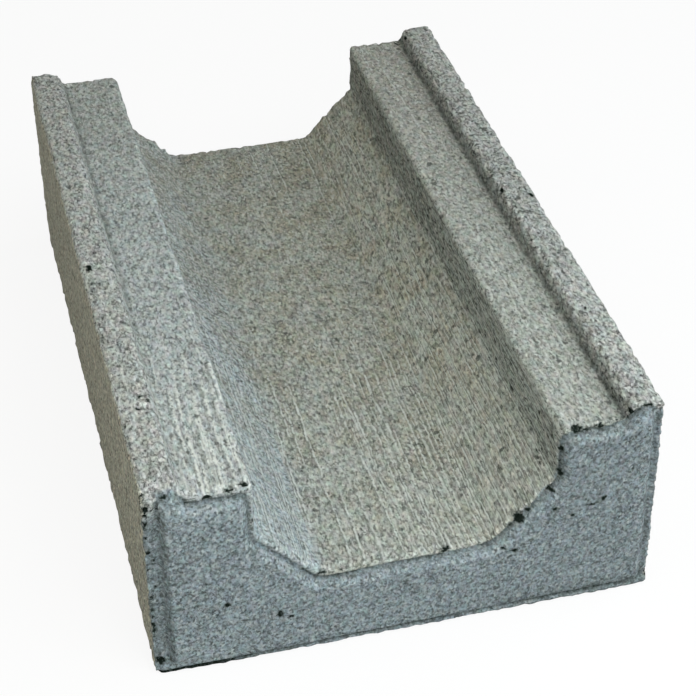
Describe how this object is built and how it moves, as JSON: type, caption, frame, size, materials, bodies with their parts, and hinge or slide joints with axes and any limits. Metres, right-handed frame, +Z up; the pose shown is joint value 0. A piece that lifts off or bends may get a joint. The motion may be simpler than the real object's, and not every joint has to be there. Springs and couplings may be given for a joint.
{
  "type": "concrete cable trough block",
  "caption": "Short dry-cast concrete trough unit: flat base, chamfered open channel for cables, and a lipped seat on each rail for a cover slab.",
  "frame": {"origin": "centre of the block's footprint, on the level surface that it stands on", "axes": "+Z up, +Y along the channel from the pressed end with its raised panel to the plain end, +X across the rails"},
  "size_m": [0.32, 0.505, 0.145],
  "materials": {
    "concrete": "matt grey dry-cast concrete, open grained, with drag lines along its length and small dark pores"
  },
  "bodies": {
    "root": {"trough_block": "concrete"}
  },
  "joints": []
}
